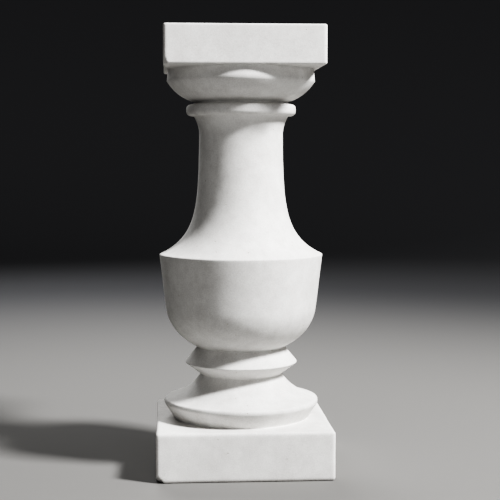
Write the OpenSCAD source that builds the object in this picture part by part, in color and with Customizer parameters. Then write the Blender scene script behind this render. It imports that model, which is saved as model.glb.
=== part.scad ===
// Stone baluster: a square plinth, a turned shaft and a square abacus, carved or cast as one block.
// Millimetres, +Z up, origin at the middle of the underside of the plinth.

/* [Plinth] */
// Side of the square plinth
plinth_w = 238; // [196:1:300]
// Height of the plinth
plinth_h = 66; // [50:1:85]

/* [Base ring] */
// How far the plinth stands out past the base ring, at the middle of a side
plinth_reveal = 11; // [6:0.5:24]
// Height of the base ring's upper arris over the plinth
ring_h = 26; // [18:0.5:32]
// How far the foot of the base ring lies inside its widest place
ring_foot_in = 13; // [8:0.5:20]
// Radius of the base ring's rounded edge, under its arris
ring_edge = 6; // [3:0.5:9]

/* [Flare and V-ring] */
// Height of the hollow flare over the base ring
flare_h = 34; // [24:0.5:44]
// Radius of the groove under the V-ring
low_groove_r = 57; // [50:0.5:64]
// How far the edge of the V-ring stands out past the groove under it
v_ring_out = 22; // [14:0.5:30]
// Height of the V-ring's underside
v_ring_below = 16.5; // [10:0.5:24]
// Height of the V-ring's upper side
v_ring_above = 21.5; // [14:0.5:30]
// Radius of the groove over the V-ring
high_groove_r = 61; // [50:0.5:68]

/* [Belly] */
// How far the straight side of the belly draws in towards its foot
belly_taper = 8.6; // [0:0.1:18]
// Height of the round underside of the belly
belly_turn_h = 56.5; // [44:0.5:68]
// Radius of the belly at its upper edge, the widest place of the shaft
belly_r = 113.8; // [105:0.1:140]
// Height of the straight side of the belly
belly_side_h = 73; // [56:0.5:90]

/* [Neck] */
// Least radius of the neck
neck_r = 58; // [48:0.5:64]
// Height of the neck, from the belly's edge to the hollow under the astragal
neck_h = 167.5; // [138:0.5:210]
// Height in which the bell at the foot of the neck falls to a third of its width
bell_fall = 28; // [20:0.5:38]
// Height of the hollow between the neck and the astragal
hollow_h = 23; // [14:0.5:30]
// How far the top of the hollow stands out past the neck
hollow_out = 8; // [3:0.5:14]

/* [Astragal and echinus] */
// How far the astragal stands out past the hollow
astragal_out = 10; // [6:0.5:16]
// Height of the astragal
astragal_h = 16; // [12:0.5:22]
// Depth of the quirk, the sharp groove between the astragal and the echinus, from the astragal's face
quirk_in = 12; // [7:0.5:16]
// Height of the quirk
quirk_h = 3.5; // [2:0.5:6]
// How far the lower edge of the echinus stands out past the quirk
echinus_foot_out = 2.5; // [1:0.5:10]
// How far the abacus stands out past the widest place of the echinus, at the middle of a side
abacus_reveal = 4.2; // [2:0.1:16]
// Height of the echinus from its lower edge to its widest place
echinus_below = 28; // [20:0.5:36]
// Height of the echinus from its widest place to the abacus
echinus_above = 16.5; // [8:0.5:24]
// How far the echinus draws in again under the abacus
echinus_tuck = 1.8; // [0:0.1:4]

/* [Abacus] */
// Side of the square abacus
abacus_w = 214; // [178:1:260]
// Height of the abacus
abacus_h = 52; // [40:1:65]

/* [Hidden] */
STONE = [0.93, 0.92, 0.89];
// Steps along a quarter round or a short curve, along the bell, and round the whole shaft
CURVE_STEPS = 10;
BELL_STEPS = 24;
TURN_STEPS = 180;
// How much the bell's steps crowd towards its foot, where it bends most
BELL_CROWDING = 1.6;
// How the bell's fall is spread: under 1 it falls faster at its foot and slower above
BELL_SPREAD = 0.93;
// Bow of each curve: how far its control point lies off the chord's middle, as a share of the chord
FLARE_BOW = -0.21;
HOLLOW_BOW = -0.12;
ECHINUS_BOW = 0.19;
// How far the line of the belly's side runs on down to its underside's control point, as a share of the side
BELLY_RUN = 0.51;
// Angles over the level at which the base ring's rounded edge starts and ends
RING_LOW = -30;
RING_HIGH = 40;
// Largest rounding of the astragal's two edges
ASTRAGAL_EDGE = 6;
// How deep the shaft's outline runs into the plinth and the abacus, so that all is one solid
ROOT = 5;

// Levels of the members, from the underside up
flare_z = plinth_h + ring_h;
ring_z = flare_z - ring_edge * sin(RING_HIGH);
low_groove_z = flare_z + flare_h;
v_ring_z = low_groove_z + v_ring_below;
high_groove_z = v_ring_z + v_ring_above;
belly_turn_z = high_groove_z + belly_turn_h;
belly_z = belly_turn_z + belly_side_h;
neck_z = belly_z + neck_h;
astragal_z = neck_z + hollow_h;
quirk_z = astragal_z + astragal_h;
echinus_z = quirk_z + quirk_h;
echinus_wide_z = echinus_z + echinus_below;
abacus_z = echinus_wide_z + echinus_above;

// Radii of the members
ring_r = plinth_w / 2 - plinth_reveal;
ring_foot_r = ring_r - ring_foot_in;
ring_core_r = ring_r - ring_edge;
ring_arris_r = ring_core_r + ring_edge * cos(RING_HIGH);
v_ring_r = low_groove_r + v_ring_out;
belly_turn_r = belly_r - belly_taper;
hollow_r = neck_r + hollow_out;
astragal_r = hollow_r + astragal_out;
quirk_r = astragal_r - quirk_in;
echinus_foot_r = quirk_r + echinus_foot_out;
echinus_r = abacus_w / 2 - abacus_reveal;
echinus_top_r = echinus_r - echinus_tuck;
astragal_edge = min(ASTRAGAL_EDGE, astragal_h / 2, astragal_r - max(hollow_r, quirk_r));
astragal_core_r = astragal_r - astragal_edge;

// The points after the first of an ellipse's arc about c, half axes a across and b up, from angle t0 to t1
function round_part(c, a, b, t0, t1) =
    [for (i = [1:CURVE_STEPS])
        let (t = t0 + (t1 - t0) * i / CURVE_STEPS)
        c + [a * cos(t), b * sin(t)]];

// The points after p of a plain curve from p to q, which leaves p and reaches q along the lines to m
function curve(p, m, q) =
    [for (i = [1:CURVE_STEPS])
        let (t = i / CURVE_STEPS)
        (1 - t) * (1 - t) * p + 2 * t * (1 - t) * m + t * t * q];

// The same from p to q, bowed outwards for bow > 0 and hollow for bow < 0
function bowed(p, q, bow) = curve(p, (p + q) / 2 + bow * [q[1] - p[1], p[0] - q[0]], q);

// The points after p of the belly's underside from p to q, which flows into the straight side from q up to r
function belly_round(p, q, r) = curve(p, q - BELLY_RUN * (r - q), q);

// Radius of the neck at height h over the belly's edge: the bell falls off as a stretched exponential
function neck_r_at(h) = neck_r + (belly_r - neck_r) * exp(-pow(h / bell_fall, BELL_SPREAD));

// The neck's points, from the belly's edge up
function bell() =
    [for (i = [0:BELL_STEPS])
        let (h = neck_h * pow(i / BELL_STEPS, BELL_CROWDING))
        [neck_r_at(h), belly_z + h]];

// Outline of the turned shaft, radius against height
function shaft_outline() = concat(
    [[0, plinth_h - ROOT], [ring_foot_r, plinth_h - ROOT], [ring_foot_r, plinth_h]],
    [[ring_core_r + ring_edge * cos(RING_LOW), ring_z + ring_edge * sin(RING_LOW)]],
    round_part([ring_core_r, ring_z], ring_edge, ring_edge, RING_LOW, RING_HIGH),
    bowed([ring_arris_r, flare_z], [low_groove_r, low_groove_z], FLARE_BOW),
    [[v_ring_r, v_ring_z], [high_groove_r, high_groove_z]],
    belly_round([high_groove_r, high_groove_z], [belly_turn_r, belly_turn_z], [belly_r, belly_z]),
    bell(),
    bowed([neck_r_at(neck_h), neck_z], [hollow_r, astragal_z], HOLLOW_BOW),
    [[astragal_core_r, astragal_z]],
    round_part([astragal_core_r, astragal_z + astragal_edge], astragal_edge, astragal_edge, -90, 0),
    [[astragal_r, quirk_z - astragal_edge]],
    round_part([astragal_core_r, quirk_z - astragal_edge], astragal_edge, astragal_edge, 0, 90),
    [[quirk_r, quirk_z + quirk_h / 2], [echinus_foot_r, echinus_z]],
    bowed([echinus_foot_r, echinus_z], [echinus_r, echinus_wide_z], ECHINUS_BOW),
    [[echinus_top_r, abacus_z], [echinus_top_r, abacus_z + ROOT], [0, abacus_z + ROOT]]);

// A square block centred on the axis, from height z up
module square_block(side, z, height) {
    translate([-side / 2, -side / 2, z])
        cube([side, side, height]);
}

module baluster() {
    color(STONE)
        union() {
            square_block(plinth_w, 0, plinth_h);
            rotate_extrude($fn = TURN_STEPS)
                polygon(shaft_outline());
            square_block(abacus_w, abacus_z, abacus_h);
        }
}

baluster();
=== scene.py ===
"""Looks of a pale cast stone baluster: a square plinth, a turned shaft and a square abacus, all one block.

The shape is one closed surface of two parameters. A path climbs the outline from the middle of the underside
to the middle of the top, and every point of the path is carried once round the axis, as a circle on the
shaft and as a square with rounded corners on the two blocks. Sizes are in millimetres until the mesh is made.
"""

import logging
import math
from dataclasses import dataclass, field
from enum import Enum

import bpy
import numpy as np
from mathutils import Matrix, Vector

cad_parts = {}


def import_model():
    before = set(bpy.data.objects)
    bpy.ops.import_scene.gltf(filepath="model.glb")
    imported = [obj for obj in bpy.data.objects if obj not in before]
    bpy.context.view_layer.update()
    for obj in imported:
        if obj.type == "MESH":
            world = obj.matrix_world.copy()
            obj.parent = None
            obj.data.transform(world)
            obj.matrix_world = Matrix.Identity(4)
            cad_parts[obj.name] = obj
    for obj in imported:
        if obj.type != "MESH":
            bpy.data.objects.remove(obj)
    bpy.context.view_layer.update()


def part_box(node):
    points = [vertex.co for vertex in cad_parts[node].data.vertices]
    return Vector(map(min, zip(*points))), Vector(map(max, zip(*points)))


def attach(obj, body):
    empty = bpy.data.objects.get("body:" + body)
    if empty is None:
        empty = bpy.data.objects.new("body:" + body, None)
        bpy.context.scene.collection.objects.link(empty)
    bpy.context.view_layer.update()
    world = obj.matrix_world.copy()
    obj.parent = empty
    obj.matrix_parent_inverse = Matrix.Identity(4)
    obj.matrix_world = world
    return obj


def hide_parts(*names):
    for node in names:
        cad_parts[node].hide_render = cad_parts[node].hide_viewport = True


LOG = logging.getLogger("baluster")
NODE = "baluster"
BODY = "root"
MM = 0.001
DEGREE = math.pi / 180
# Large numbers that scatter a lattice corner's place: one for each axis, one for the seed, one to finish
HASH_AXES = (374761393, 668265263, 362437)
HASH_SEED = 974711
HASH_LAST = 1274126177
HASH_MASK = 0xFFFFFFFF
HASH_HALF = 0x7FFFFFFF
# A softening clears the points this much past its own length, so that no sliver is left beside it
SOFT_CLEARED = 1.15


def linear(hex_colour: str) -> tuple[float, float, float, float]:
    """Turns an sRGB hex colour into the linear colour that shaders take.

    Args:
        hex_colour: Six hex digits after a hash sign.

    Returns:
        Red, green, blue and an alpha of 1, linear.
    """
    srgb = np.array([int(hex_colour[i:i + 2], 16) / 255 for i in (1, 3, 5)])
    rgb = np.where(srgb <= 0.04045, srgb / 12.92, ((srgb + 0.055) / 1.055) ** 2.4)
    return (float(rgb[0]), float(rgb[1]), float(rgb[2]), 1.0)


def add_node(tree: bpy.types.NodeTree, kind: str, settings: dict, links: dict) -> bpy.types.Node:
    """Adds one shader node with its settings and its incoming links.

    Args:
        tree: The node tree that the node joins.
        kind: Blender's name for the node's type.
        settings: Property names and input socket names or numbers, each with its value.
        links: Input socket names or numbers, each with the output socket that feeds it.

    Returns:
        The new node.
    """
    node = tree.nodes.new(kind)
    for name, value in settings.items():
        if isinstance(name, int) or name in node.inputs:
            node.inputs[name].default_value = value
        else:
            setattr(node, name, value)
    for name, source in links.items():
        tree.links.new(source, node.inputs[name])
    return node


def per_metre(size_mm: float) -> float:
    """Gives the pattern scale at which one cell of a texture measures size_mm."""
    return 1000.0 / size_mm


def lattice_noise(points: np.ndarray, cell: float, seed: int) -> np.ndarray:
    """Smooth noise between -1 and 1 at points in space.

    Every corner of a cubic lattice has a fixed number, from an integer hash of its place. Between the corners
    the number is their average, weighted along each axis by 3t^2 - 2t^3 of the way t through the cube.

    Args:
        points: Places, as an array whose last axis is x, y, z, in millimetres.
        cell: Side of one lattice cube, in millimetres.
        seed: Chooses one of many patterns.

    Returns:
        The noise at each point, one number per point.
    """
    place = points / cell
    low = np.floor(place).astype(np.int64)
    part = place - low
    part = part * part * (3.0 - 2.0 * part)
    total = np.zeros(points.shape[:-1])
    for corner in np.ndindex(2, 2, 2):
        at = low + np.array(corner)
        mixed = (at @ np.array(HASH_AXES) + seed * HASH_SEED) & HASH_MASK
        mixed = ((mixed ^ (mixed >> 13)) * HASH_LAST) & HASH_MASK
        mixed = mixed ^ (mixed >> 16)
        weight = np.prod(np.where(np.array(corner) == 1, part, 1.0 - part), axis=-1)
        total += weight * (mixed / HASH_HALF - 1.0)
    return total


class Section(Enum):
    """Shape of the outline carried round the axis."""

    ROUND = 0
    SQUARE = 1


@dataclass(frozen=True)
class Finish:
    """Pale cast stone: a moulded mix of white cement and fine crushed limestone, rubbed smooth.

    It gives the eye a matt, almost white face with faint clouds of tone, a fine sandy grain and a few
    pinholes where air stayed against the mould.
    """

    name: str = "cast_stone_pale_rubbed"
    light: str = "#E5E4E1"
    shade: str = "#CDCBC8"
    pinhole_dark: str = "#B9B3A7"
    # Broad clouds of tone, as wide as a hand
    cloud_mm: float = 70.0
    # Mottling of the rubbed face
    mottle_mm: float = 14.0
    # Sand grain: real grit is under 0.5 mm, drawn coarser so that it shows
    grain_mm: float = 1.6
    # Pinholes: one in each cell at most, and most cells have none
    pinhole_cell_mm: float = 13.0
    pinhole_mm: float = 1.5
    pinhole_share: float = 0.3
    roughness: float = 0.86
    ior: float = 1.5
    grain_depth_mm: float = 0.14
    pinhole_depth_mm: float = 0.8

    def build(self) -> bpy.types.Material:
        """Makes the material.

        Returns:
            The finished material, with its patterns on Object coordinates.
        """
        material = bpy.data.materials.new(self.name)
        material.use_nodes = True
        tree = material.node_tree
        tree.nodes.clear()
        place = add_node(tree, "ShaderNodeTexCoord", {}, {}).outputs["Object"]
        tone = self.tone(tree, place)
        holes = self.pinholes(tree, place)
        colour = add_node(
            tree, "ShaderNodeMix",
            {"data_type": "RGBA", 7: linear(self.pinhole_dark)},
            {"Factor": holes, 6: tone},
        )
        shader = add_node(
            tree, "ShaderNodeBsdfPrincipled",
            {"Roughness": self.roughness, "IOR": self.ior},
            {"Base Color": colour.outputs[2], "Normal": self.relief(tree, place, holes)},
        )
        add_node(tree, "ShaderNodeOutputMaterial", {}, {"Surface": shader.outputs["BSDF"]})
        return material

    def tone(self, tree: bpy.types.NodeTree, place: bpy.types.NodeSocket) -> bpy.types.NodeSocket:
        """Mixes the light and the shade of the stone by clouds, mottling and grain.

        Args:
            tree: The material's node tree.
            place: Object coordinates.

        Returns:
            The colour socket.
        """
        cloud = add_node(
            tree, "ShaderNodeTexNoise",
            {"Scale": per_metre(self.cloud_mm), "Detail": 3.0, "Roughness": 0.55}, {"Vector": place},
        )
        mottle = add_node(
            tree, "ShaderNodeTexNoise",
            {"Scale": per_metre(self.mottle_mm), "Detail": 4.0, "Roughness": 0.6}, {"Vector": place},
        )
        grain = add_node(
            tree, "ShaderNodeTexNoise",
            {"Scale": per_metre(self.grain_mm), "Detail": 2.0, "Roughness": 0.5}, {"Vector": place},
        )
        broad = add_node(
            tree, "ShaderNodeMath", {"operation": "ADD"},
            {0: cloud.outputs["Fac"], 1: mottle.outputs["Fac"]},
        )
        all_three = add_node(
            tree, "ShaderNodeMath", {"operation": "ADD"},
            {0: broad.outputs[0], 1: grain.outputs["Fac"]},
        )
        ramp = add_node(
            tree, "ShaderNodeMapRange",
            {"From Min": 1.15, "From Max": 1.85, "To Min": 0.0, "To Max": 1.0},
            {"Value": all_three.outputs[0]},
        )
        colour = add_node(
            tree, "ShaderNodeMix", {"data_type": "RGBA", 6: linear(self.shade), 7: linear(self.light)},
            {"Factor": ramp.outputs[0]},
        )
        return colour.outputs[2]

    def pinholes(self, tree: bpy.types.NodeTree, place: bpy.types.NodeSocket) -> bpy.types.NodeSocket:
        """Marks the pinholes: the round middle of some cells of a random cell pattern.

        Args:
            tree: The material's node tree.
            place: Object coordinates.

        Returns:
            A value socket, 1 in a pinhole and 0 outside.
        """
        cells = add_node(
            tree, "ShaderNodeTexVoronoi",
            {"feature": "F1", "Scale": per_metre(self.pinhole_cell_mm), "Randomness": 1.0}, {"Vector": place},
        )
        radius = self.pinhole_mm / 2 / self.pinhole_cell_mm
        inside = add_node(
            tree, "ShaderNodeMapRange",
            {"From Min": radius * 1.25, "From Max": radius * 0.75, "To Min": 0.0, "To Max": 1.0},
            {"Value": cells.outputs["Distance"]},
        )
        pick = add_node(tree, "ShaderNodeSeparateColor", {}, {"Color": cells.outputs["Color"]})
        chosen = add_node(
            tree, "ShaderNodeMath", {"operation": "LESS_THAN", 1: self.pinhole_share},
            {0: pick.outputs["Red"]},
        )
        both = add_node(
            tree, "ShaderNodeMath", {"operation": "MULTIPLY"},
            {0: inside.outputs[0], 1: chosen.outputs[0]},
        )
        return both.outputs[0]

    def relief(self, tree: bpy.types.NodeTree, place: bpy.types.NodeSocket,
               holes: bpy.types.NodeSocket) -> bpy.types.NodeSocket:
        """Gives the stone its sandy grain and sinks the pinholes.

        Args:
            tree: The material's node tree.
            place: Object coordinates.
            holes: The pinhole mask.

        Returns:
            The normal socket.
        """
        grain = add_node(
            tree, "ShaderNodeTexNoise",
            {"Scale": per_metre(self.grain_mm), "Detail": 3.0, "Roughness": 0.6}, {"Vector": place},
        )
        sandy = add_node(
            tree, "ShaderNodeBump", {"Strength": 1.0, "Distance": self.grain_depth_mm * MM},
            {"Height": grain.outputs["Fac"]},
        )
        pitted = add_node(
            tree, "ShaderNodeBump",
            {"invert": True, "Strength": 1.0, "Distance": self.pinhole_depth_mm * MM},
            {"Height": holes, "Normal": sandy.outputs["Normal"]},
        )
        return pitted.outputs["Normal"]


@dataclass
class Outline:
    """The path up the outline: radius or half side, height, and how square the section is.

    Attributes:
        step: Longest stretch left between two points, in millimetres.
        points: The points so far, each radius, height, squareness, and length of the softening there.
    """

    step: float
    points: list[tuple[float, float, float, float]] = field(default_factory=list)

    def to(self, radius: float, height: float, section: Section, soft: float = 0.0,
           step: float | None = None) -> None:
        """Draws a straight stretch to a point.

        Args:
            radius: Radius, or half the side of a square section.
            height: Height over the underside.
            section: The section at the point.
            soft: How far from the point, on either side, its corner is rounded.
            step: Longest stretch between points here, if not the outline's own.
        """
        target = np.array([radius, height, float(section.value), soft])
        if self.points:
            start = np.array(self.points[-1])
            length = float(np.hypot(*(target[:2] - start[:2])))
            count = max(1, math.ceil(length / (step or self.step)))
            between = start + (target - start) * (np.arange(1, count) / count)[:, None]
            between[:, 3] = 0.0
            self.points.extend(tuple(row) for row in between)
        self.points.append(tuple(target))

    def rise(self, centre: tuple[float, float], radius: float, angle: float) -> None:
        """Draws a straight stretch to the point of a circle at an angle.

        Args:
            centre: Radius and height of the circle's centre.
            radius: The circle's own radius.
            angle: Where on the circle the stretch ends, in degrees.
        """
        a = angle * DEGREE
        self.to(centre[0] + radius * math.cos(a), centre[1] + radius * math.sin(a), Section.ROUND)

    def arc(self, centre: tuple[float, float], half: tuple[float, float], turn: tuple[float, float],
            count: int, soft: float = 0.0) -> None:
        """Draws part of an ellipse, without its first point.

        The point at angle t is the centre plus the half axes times (cos t, sin t).

        Args:
            centre: Radius and height of the centre.
            half: Half axes, across and up.
            turn: First and last angle, in degrees.
            count: Number of points.
            soft: Softening of the last point's corner.
        """
        t = np.linspace(*turn, count + 1)[1:] * DEGREE
        for r, z in zip(centre[0] + half[0] * np.cos(t), centre[1] + half[1] * np.sin(t)):
            self.points.append((float(r), float(z), 0.0, 0.0))
        self.points[-1] = (*self.points[-1][:3], soft)

    def curve(self, m: np.ndarray, q: np.ndarray, count: int, soft: float = 0.0) -> None:
        """Draws a plain curve from the last point p to q: (1-t)^2 p + 2t(1-t) m + t^2 q.

        Args:
            m: Radius and height of the control point.
            q: Radius and height of the last point.
            count: Number of points.
            soft: Softening of the last point's corner.
        """
        p = np.array(self.points[-1][:2])
        t = (np.arange(1, count + 1) / count)[:, None]
        curve = (1 - t) ** 2 * p + 2 * t * (1 - t) * m + t ** 2 * q
        self.points.extend((float(r), float(z), 0.0, 0.0) for r, z in curve[:-1])
        self.points.append((float(q[0]), float(q[1]), 0.0, soft))

    def bow(self, end: tuple[float, float], bow: float, count: int, soft: float = 0.0) -> None:
        """Draws a plain curve whose control point lies off the middle of the chord, outwards for bow > 0.

        Args:
            end: Radius and height of the last point.
            bow: Distance of the control point from the chord, as a share of the chord.
            count: Number of points.
            soft: Softening of the last point's corner.
        """
        p, q = np.array(self.points[-1][:2]), np.array(end)
        self.curve((p + q) / 2 + bow * np.array([q[1] - p[1], p[0] - q[0]]), q, count, soft)

    def softened(self, count: int) -> np.ndarray:
        """Rounds every corner that asks for it.

        A corner c is cut back to a and b on its two sides, and joined by (1-t)^2 a + 2t(1-t) c + t^2 b.

        Args:
            count: Number of points in each rounding.

        Returns:
            Radius, height and squareness of every point, one row each.
        """
        rows = np.array(self.points)
        corners = np.flatnonzero(rows[:, 3] > 0)
        keep = np.ones(len(rows), bool)
        extra: list[tuple[int, np.ndarray]] = []
        for i in corners:
            c, soft = rows[i, :3], rows[i, 3]
            gap = np.hypot(*(rows[:, :2] - c[:2]).T)
            near = (gap < soft * SOFT_CLEARED) & (np.abs(np.arange(len(rows)) - i) < len(rows) // 4)
            keep &= ~near
            first, last = np.flatnonzero(near)[[0, -1]]
            before, after = rows[first - 1, :3], rows[last + 1, :3]
            a = c + (before - c) * min(1.0, soft / np.hypot(*(before - c)[:2]))
            b = c + (after - c) * min(1.0, soft / np.hypot(*(after - c)[:2]))
            t = np.linspace(0.0, 1.0, count)[:, None]
            extra.append((i, (1 - t) ** 2 * a + 2 * t * (1 - t) * c + t ** 2 * b))
        pieces = [rows[[i], :3] for i in range(len(rows)) if keep[i]]
        order = [float(i) for i in range(len(rows)) if keep[i]]
        for i, curve in extra:
            pieces.append(curve)
            order.append(float(i))
        return np.vstack([pieces[k] for k in np.argsort(order, kind="stable")])


@dataclass(frozen=True)
class Chip:
    """A small break at an arris or a corner.

    Attributes:
        corner: The sharp arris or corner that is broken, in millimetres.
        inward: Direction into the stone, at right angles to the break.
        depth: How deep the break is under the sharp arris.
        reach: How far from the middle the break tapers out.
    """

    corner: tuple[float, float, float]
    inward: tuple[float, float, float]
    depth: float
    reach: float

    def cut(self, points: np.ndarray) -> np.ndarray:
        """Moves the points that lie outside the break's face onto it.

        The face lies depth * (1 - (d / reach)^2) under the corner, at distance d from it, and is rough by a
        sixth of that.

        Args:
            points: Places of the surface's points.

        Returns:
            The points, with those above the break moved inwards.
        """
        direction = np.array(self.inward) / np.linalg.norm(self.inward)
        offset = points - np.array(self.corner)
        distance = np.linalg.norm(offset, axis=-1)
        face = self.depth * np.clip(1.0 - (distance / self.reach) ** 2, 0.0, None)
        face *= 1.0 + lattice_noise(points, self.reach / 3, 7) / 6
        missing = np.clip(face - offset @ direction, 0.0, None) * (distance < self.reach)
        return points + missing[..., None] * direction


@dataclass
class Baluster:
    """The whole baluster: sizes of its members, its surface and its small irregularities, in millimetres.

    The overall sizes come from the frame's box; the members are stated here, from the underside up.
    """

    plinth_w: float
    height: float
    plinth_h: float = 66.0
    ring_r: float = 108.0
    ring_h: float = 26.0
    ring_foot_in: float = 13.0
    ring_edge: float = 6.0
    ring_turn: tuple[float, float] = (-30.0, 40.0)
    flare_h: float = 34.0
    flare_bow: float = -0.21
    low_groove_r: float = 57.0
    v_ring_r: float = 79.0
    v_ring_below: float = 16.5
    v_ring_above: float = 21.5
    high_groove_r: float = 61.0
    belly_turn_r: float = 105.2
    belly_turn_h: float = 56.5
    belly_r: float = 113.8
    belly_side_h: float = 73.0
    belly_run: float = 0.51
    neck_r: float = 58.0
    neck_h: float = 167.5
    bell_fall: float = 28.0
    bell_spread: float = 0.93
    hollow_h: float = 23.0
    hollow_r: float = 66.0
    hollow_bow: float = -0.12
    astragal_r: float = 76.0
    astragal_h: float = 16.0
    astragal_edge: float = 6.0
    quirk_r: float = 64.0
    quirk_h: float = 3.5
    echinus_foot_r: float = 66.5
    echinus_r: float = 102.8
    echinus_below: float = 28.0
    echinus_bow: float = 0.19
    echinus_tuck: float = 1.8
    abacus_w: float = 214.0
    abacus_h: float = 52.0
    # Softening of the blocks' arrises, of the shaft's sharp edges, and of the blocks' upright corners
    plinth_soft: float = 4.5
    abacus_soft: float = 2.6
    edge_soft: float = 1.6
    corner_soft: float = 4.5
    # Softening where the shaft meets a block, at the base ring's arris, in the quirk and under the echinus
    seat_soft: float = 1.0
    ring_soft: float = 1.2
    quirk_soft: float = 0.8
    echinus_soft: float = 0.6
    # Rings: points round the axis, and how much they crowd towards the blocks' corners
    around: int = 352
    crowding: float = 0.6
    step: float = 4.2
    # Closer and wider rings: near the plinth's lower arris, and on the two beds round their plain middle
    arris_step: float = 2.6
    bed_step: float = 24.0
    bed_middle: float = 12.0
    # Widths of the strips of each block's faces that keep their shape next to an arris
    foot_strip: float = 14.0
    plinth_strip: float = 6.0
    soffit_strip: float = 4.0
    top_strip: float = 8.0
    # Handwork: how far the faces wander, and over what lengths
    wander: float = 0.35
    wander_cell: float = 60.0
    ripple: float = 0.12
    ripple_cell: float = 17.0

    def outline(self) -> np.ndarray:
        """Climbs the outline from the middle of the underside to the middle of the top.

        Returns:
            Radius or half side, height and squareness of every ring, one row each.
        """
        half_plinth = self.plinth_w / 2
        half_abacus = self.abacus_w / 2
        flare_z = self.plinth_h + self.ring_h
        ring_z = flare_z - self.ring_edge * math.sin(self.ring_turn[1] * DEGREE)
        ring_core = (self.ring_r - self.ring_edge, ring_z)
        groove_z = flare_z + self.flare_h
        v_ring_z = groove_z + self.v_ring_below
        high_groove_z = v_ring_z + self.v_ring_above
        turn_z = high_groove_z + self.belly_turn_h
        belly_z = turn_z + self.belly_side_h
        neck_z = belly_z + self.neck_h
        astragal_z = neck_z + self.hollow_h
        quirk_z = astragal_z + self.astragal_h
        echinus_z = quirk_z + self.quirk_h
        abacus_z = self.height - self.abacus_h
        core = self.astragal_r - self.astragal_edge
        edge = (self.astragal_edge, self.astragal_edge)
        path = Outline(self.step)
        path.to(self.bed_middle, 0.0, Section.SQUARE)
        path.to(half_plinth - self.foot_strip, 0.0, Section.SQUARE, step=self.bed_step)
        path.to(half_plinth, 0.0, Section.SQUARE, self.plinth_soft, step=self.arris_step)
        path.to(half_plinth, self.foot_strip, Section.SQUARE, step=self.arris_step)
        path.to(half_plinth, self.plinth_h, Section.SQUARE, self.plinth_soft)
        path.to(half_plinth - self.plinth_strip, self.plinth_h, Section.SQUARE)
        path.to(self.ring_r - self.ring_foot_in, self.plinth_h, Section.ROUND, self.seat_soft)
        path.rise(ring_core, self.ring_edge, self.ring_turn[0])
        path.arc(ring_core, (self.ring_edge, self.ring_edge), self.ring_turn, 12, self.ring_soft)
        path.bow((self.low_groove_r, groove_z), self.flare_bow, 18, self.edge_soft)
        path.to(self.v_ring_r, v_ring_z, Section.ROUND, self.edge_soft)
        path.to(self.high_groove_r, high_groove_z, Section.ROUND, self.edge_soft)
        turn, side = np.array([self.belly_turn_r, turn_z]), np.array([self.belly_r, belly_z])
        path.curve(turn - self.belly_run * (side - turn), turn, 20)
        path.to(self.belly_r, belly_z, Section.ROUND, self.edge_soft)
        self.climb_neck(path, belly_z)
        path.bow((self.hollow_r, astragal_z), self.hollow_bow, 7)
        path.to(core, astragal_z, Section.ROUND)
        path.arc((core, astragal_z + self.astragal_edge), edge, (-90, 0), 6)
        path.to(self.astragal_r, quirk_z - self.astragal_edge, Section.ROUND)
        path.arc((core, quirk_z - self.astragal_edge), edge, (0, 90), 6)
        path.to(self.quirk_r, quirk_z + self.quirk_h / 2, Section.ROUND, self.quirk_soft)
        path.to(self.echinus_foot_r, echinus_z, Section.ROUND, self.echinus_soft)
        path.bow((self.echinus_r, echinus_z + self.echinus_below), self.echinus_bow, 16)
        path.to(self.echinus_r - self.echinus_tuck, abacus_z, Section.ROUND, self.seat_soft)
        path.to(half_abacus - self.soffit_strip, abacus_z, Section.SQUARE)
        path.to(half_abacus, abacus_z, Section.SQUARE, self.abacus_soft)
        path.to(half_abacus, self.height, Section.SQUARE, self.abacus_soft)
        path.to(half_abacus - self.top_strip, self.height, Section.SQUARE)
        path.to(self.bed_middle, self.height, Section.SQUARE, step=self.bed_step)
        return path.softened(5)

    def climb_neck(self, path: Outline, belly_z: float) -> None:
        """Draws the neck: its radius falls off the belly's edge as exp(-(h / fall)^spread).

        Args:
            path: The outline so far, which ends at the belly's edge.
            belly_z: Height of that edge.
        """
        count = 44
        h = self.neck_h * (np.arange(1, count + 1) / count) ** 1.5
        r = self.neck_r + (self.belly_r - self.neck_r) * np.exp(-(h / self.bell_fall) ** self.bell_spread)
        for radius, height in zip(r, belly_z + h):
            path.points.append((float(radius), float(height), 0.0, 0.0))

    def angles(self) -> np.ndarray:
        """Spreads the angles round the axis, crowded towards the blocks' corners: t + k sin(4t) / 4."""
        t = np.arange(self.around) * 2 * np.pi / self.around
        return t + self.crowding / 4 * np.sin(4 * t)

    def square_reach(self, half: np.ndarray, rounding: np.ndarray, angle: np.ndarray) -> np.ndarray:
        """Distance from the axis to a square with rounded corners, in each direction.

        Within an eighth turn, at angle a from the middle of a side, the side lies at half / cos a. Past
        half - rounding along the side the corner's arc takes over: c (cos a + sin a) + sqrt(rounding^2 -
        c^2 (cos a - sin a)^2), where c = half - rounding.

        Args:
            half: Half the side, one for each ring.
            rounding: Radius of the upright corners, one for each ring.
            angle: Directions, in radians.

        Returns:
            The distances, rings by directions.
        """
        a = np.abs((angle + np.pi / 4) % (np.pi / 2) - np.pi / 4)[None, :]
        half, rounding = half[:, None], rounding[:, None]
        c = half - rounding
        root = np.clip(rounding ** 2 - (c * (np.cos(a) - np.sin(a))) ** 2, 0.0, None)
        on_side = half * np.tan(a) <= c
        return np.where(on_side, half / np.cos(a), c * (np.cos(a) + np.sin(a)) + np.sqrt(root))

    def surface(self) -> np.ndarray:
        """Carries the outline round the axis.

        A ring at angle t is (1 - s) of a circle and s of a square with rounded corners, where s is the
        ring's squareness.

        Returns:
            Places of the surface's points, rings by directions by x, y, z.
        """
        rings = self.outline()
        angle = self.angles()
        half, height, square = rings.T
        block_half = np.where(height < self.height / 2, self.plinth_w, self.abacus_w) / 2
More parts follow.
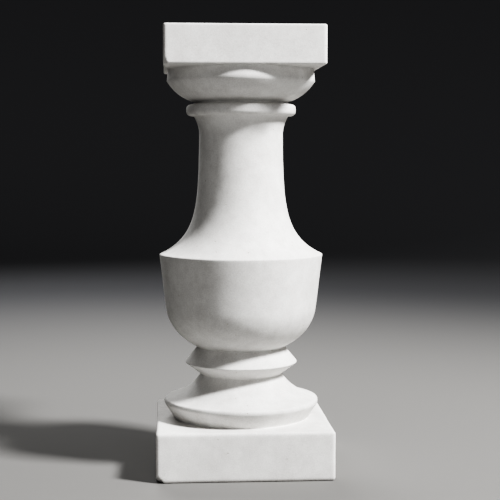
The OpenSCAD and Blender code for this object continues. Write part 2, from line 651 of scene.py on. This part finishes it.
        # Inside the block's outline the corner's radius shrinks, down to 1 mm, as it does on an offset square
        rounding = np.clip(self.corner_soft - (block_half - half), 1.0, None)
        rounding = np.minimum(rounding, half * 0.9)
        squareness = square[:, None]
        reach = (1 - squareness) * half[:, None] + squareness * self.square_reach(half, rounding, angle)
        flat = np.stack([reach * np.cos(angle), reach * np.sin(angle)], axis=-1)
        up = np.broadcast_to(height[:, None, None], (*reach.shape, 1))
        return np.concatenate([flat, up], axis=-1)

    def handwork(self, points: np.ndarray) -> np.ndarray:
        """Lets the faces wander a little, as rubbed and handled stone does; the two beds stay flat.

        Args:
            points: Places of the surface's points.

        Returns:
            The moved points.
        """
        slow = lattice_noise(points, self.wander_cell, 3)
        fast = lattice_noise(points, self.ripple_cell, 11)
        move = self.wander * slow + self.ripple * fast - (self.wander + self.ripple)
        reach = np.linalg.norm(points[..., :2], axis=-1, keepdims=True)
        out = points.copy()
        out[..., :2] += points[..., :2] / reach * move[..., None]
        return out

    def chips(self) -> list[Chip]:
        """Lists the small breaks of the arrises.

        Returns:
            The chips of the two blocks and of the base ring.
        """
        p, a = self.plinth_w / 2, self.abacus_w / 2
        foot = self.height - self.abacus_h
        return [
            Chip((-p, -p, 0.0), (1.0, 0.6, 1.0), 8.5, 30.0),
            Chip((-a, -a, foot), (1.0, 0.7, 1.0), 5.4, 21.0),
            Chip((107.0, -13.0, self.plinth_h + 25.0), (-1.0, 0.1, -0.6), 3.6, 12.0),
            Chip((107.4, -17.0, self.plinth_h + 17.0), (-1.0, 0.1, 0.3), 2.8, 8.0),
            Chip((a, -a, foot + 41.0), (-1.0, 1.0, 0.0), 2.0, 8.0),
            Chip((a, -a, foot + 19.0), (-1.0, 0.8, 0.0), 1.6, 7.0),
            Chip((p, -p, self.plinth_h), (-1.0, 1.0, -1.0), 2.6, 12.0),
            Chip((-p, p, self.plinth_h), (1.0, -1.0, -0.8), 4.0, 18.0),
            Chip((p, p, 0.0), (-1.0, -1.0, 1.0), 3.6, 16.0),
            Chip((a, a, self.height), (-1.0, -1.0, -1.0), 3.4, 15.0),
            Chip((p, 31.0, self.plinth_h), (-1.0, 0.0, -1.0), 2.0, 11.0),
            Chip((-a, 22.0, self.height), (1.0, 0.0, -1.0), 1.8, 10.0),
            Chip((-18.0, a, foot), (0.0, -1.0, 1.0), 2.0, 12.0),
        ]

    def build(self, material: bpy.types.Material) -> bpy.types.Object:
        """Makes the baluster's mesh object.

        Args:
            material: The stone.

        Returns:
            The object, at the origin, with its place in its mesh.
        """
        points = self.handwork(self.surface())
        for chip in self.chips():
            points = chip.cut(points)
        rings, around = points.shape[:2]
        poles = np.array([[0.0, 0.0, 0.0], [0.0, 0.0, self.height]])
        vertices = np.concatenate([points.reshape(-1, 3), poles]) * MM
        i = np.arange(rings - 1)[:, None] * around
        j = np.arange(around)[None, :]
        k = (j + 1) % around
        quads = np.stack([i + j, i + k, i + around + k, i + around + j], axis=-1).reshape(-1, 4)
        under, over = rings * around, rings * around + 1
        last = (rings - 1) * around
        low_fan = np.stack([np.full(around, under), k[0], j[0]], axis=-1)
        high_fan = np.stack([np.full(around, over), last + j[0], last + k[0]], axis=-1)
        mesh = bpy.data.meshes.new("baluster_stone")
        mesh.from_pydata(vertices.tolist(), [], quads.tolist() + low_fan.tolist() + high_fan.tolist())
        mesh.shade_smooth()
        mesh.materials.append(material)
        piece = bpy.data.objects.new("baluster_stone", mesh)
        bpy.context.scene.collection.objects.link(piece)
        return piece


@dataclass(frozen=True)
class Lamp:
    """A square soft light: its place in degrees and metres, its side in metres and its power in watts."""

    name: str
    azimuth: float
    elevation: float
    distance: float
    size: float
    power: float


@dataclass
class Studio:
    """A plain studio: a pale round floor that sweeps up into a grey wall, three soft lights and the camera.

    Lengths are in metres, angles in degrees. Azimuths count from the front, towards +X.
    """

    floor_r: float = 3.6
    sweep_r: float = 1.2
    wall_h: float = 3.2
    # The floor is pale out to the first radius and reaches the wall's grey at the second
    pale_r: float = 0.5
    fade_r: float = 2.4
    # Rings of the backdrop's mesh: on the flat floor, up the sweep, and points round each
    floor_rings: tuple[float, ...] = (0.02, 0.6, 1.8)
    sweep_rings: int = 13
    around: int = 96
    floor: str = "#6F6E6C"
    wall: str = "#3A3A3C"
    sky: str = "#DADADA"
    sky_strength: float = 0.1
    lamps: tuple[Lamp, ...] = (
        # The key, which shapes the members, stands high on the right
        Lamp("key", azimuth=58.5, elevation=44.5, distance=3.8, size=0.6, power=338.0),
        # Soft light on the front faces, from beside the camera
        Lamp("front", azimuth=8.0, elevation=6.0, distance=2.8, size=0.8, power=10.8),
        # Soft light on the far side
        Lamp("back", azimuth=196.0, elevation=30.0, distance=2.8, size=1.4, power=50.0),
    )
    camera_azimuth: float = -3.4
    camera_distance: float = 1.715
    camera_height: float = 0.427
    aim_height: float = 0.2983
    aim_side: float = 0.01265
    # Lens and sensor width, in millimetres
    lens: float = 88.7544
    sensor: float = 36.0

    def direction(self, azimuth: float, elevation: float) -> Vector:
        """Points from the object outwards, at an azimuth and an elevation in degrees."""
        a, e = azimuth * DEGREE, elevation * DEGREE
        return Vector((math.sin(a) * math.cos(e), -math.cos(a) * math.cos(e), math.sin(e)))

    def build_backdrop(self) -> bpy.types.Object:
        """Makes the floor and wall: a flat disc, a quarter circle up from its rim, then an upright wall.

        Returns:
            The backdrop, marked as stage.
        """
        t = np.linspace(0.0, np.pi / 2, self.sweep_rings)
        sweep_r = self.floor_r + self.sweep_r * np.sin(t)
        sweep_z = self.sweep_r * (1 - np.cos(t))
        radius = np.concatenate([self.floor_rings, sweep_r, [sweep_r[-1]]])
        height = np.concatenate([np.zeros(len(self.floor_rings)), sweep_z, [self.wall_h]])
        around = self.around
        angle = np.arange(around) * 2 * np.pi / around
        points = np.stack([
            radius[:, None] * np.cos(angle),
            radius[:, None] * np.sin(angle),
            np.broadcast_to(height[:, None], (len(radius), around)),
        ], axis=-1).reshape(-1, 3)
        i = np.arange(len(radius) - 1)[:, None] * around
        j = np.arange(around)[None, :]
        k = (j + 1) % around
        quads = np.stack([i + j, i + around + j, i + around + k, i + k], axis=-1).reshape(-1, 4)
        mesh = bpy.data.meshes.new("backdrop")
        mesh.from_pydata(points.tolist(), [], quads.tolist() + [list(range(around))])
        mesh.shade_smooth()
        material = self.paper()
        mesh.materials.append(material)
        backdrop = bpy.data.objects.new("backdrop", mesh)
        bpy.context.scene.collection.objects.link(backdrop)
        return backdrop

    def paper(self) -> bpy.types.Material:
        """Makes the backdrop's matt paper: pale around the object, falling away to grey towards the wall.

        Returns:
            The material.
        """
        material = bpy.data.materials.new("backdrop_paper_matt")
        material.use_nodes = True
        tree = material.node_tree
        tree.nodes.clear()
        place = add_node(tree, "ShaderNodeTexCoord", {}, {}).outputs["Object"]
        reach = add_node(tree, "ShaderNodeVectorMath", {"operation": "LENGTH"}, {0: place}).outputs["Value"]
        fade = add_node(
            tree, "ShaderNodeMapRange",
            {"interpolation_type": "SMOOTHSTEP", "From Min": self.pale_r, "From Max": self.fade_r},
            {"Value": reach},
        )
        colour = add_node(
            tree, "ShaderNodeMix", {"data_type": "RGBA", 6: linear(self.floor), 7: linear(self.wall)},
            {"Factor": fade.outputs[0]},
        )
        shader = add_node(
            tree, "ShaderNodeBsdfPrincipled", {"Roughness": 0.95}, {"Base Color": colour.outputs[2]},
        )
        add_node(tree, "ShaderNodeOutputMaterial", {}, {"Surface": shader.outputs["BSDF"]})
        return material

    def build_sky(self) -> None:
        """Fills the open top of the studio with soft light."""
        world = bpy.data.worlds.new("studio_light")
        world.use_nodes = True
        shader = world.node_tree.nodes["Background"]
        shader.inputs["Color"].default_value = linear(self.sky)
        shader.inputs["Strength"].default_value = self.sky_strength
        bpy.context.scene.world = world

    def add_lamp(self, lamp: Lamp) -> bpy.types.Object:
        """Adds a soft light that faces the middle of the object.

        Args:
            lamp: The light to add.

        Returns:
            The light's object.
        """
        light = bpy.data.lights.new(lamp.name, "AREA")
        light.size = lamp.size
        light.energy = lamp.power
        holder = bpy.data.objects.new(lamp.name, light)
        out = self.direction(lamp.azimuth, lamp.elevation)
        holder.location = Vector((0.0, 0.0, self.aim_height)) + out * lamp.distance
        holder.rotation_euler = out.to_track_quat("Z", "Y").to_euler()
        bpy.context.scene.collection.objects.link(holder)
        return holder

    def build_camera(self) -> bpy.types.Object:
        """Places the camera and makes it the scene's.

        Returns:
            The camera.
        """
        data = bpy.data.cameras.new("camera")
        data.sensor_width = self.sensor
        data.lens = self.lens
        camera = bpy.data.objects.new("camera", data)
        out = self.direction(self.camera_azimuth, 0.0)
        side = Vector((-out.y, out.x, 0.0))
        camera.location = out * self.camera_distance + Vector((0.0, 0.0, self.camera_height))
        aim = side * self.aim_side + Vector((0.0, 0.0, self.aim_height))
        camera.rotation_euler = (aim - camera.location).to_track_quat("-Z", "Y").to_euler()
        bpy.context.scene.collection.objects.link(camera)
        bpy.context.scene.camera = camera
        return camera

    def build(self) -> None:
        """Builds the whole studio."""
        self.build_camera()
        self.build_backdrop()
        self.build_sky()
        for lamp in self.lamps:
            self.add_lamp(lamp)
        view = bpy.context.scene.view_settings
        view.view_transform = "AgX"
        view.look = "AgX - Very High Contrast"


def corners(box: tuple[Vector, Vector]) -> list[list[float]]:
    """Turns a box's two corners into plain lists of numbers."""
    return [[float(v) for v in corner] for corner in box]


def main() -> None:
    """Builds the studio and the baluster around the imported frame."""
    logging.basicConfig(level=logging.INFO, format="%(name)s: %(message)s")
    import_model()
    low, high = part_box(NODE)
    Studio().build()
    baluster = Baluster(plinth_w=(high[0] - low[0]) / MM, height=(high[2] - low[2]) / MM)
    piece = baluster.build(Finish().build())
    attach(piece, BODY)
    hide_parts(NODE)
    LOG.info("%s: %d vertices, %d faces", piece.name, len(piece.data.vertices), len(piece.data.polygons))


if __name__ == "__main__":
    main()
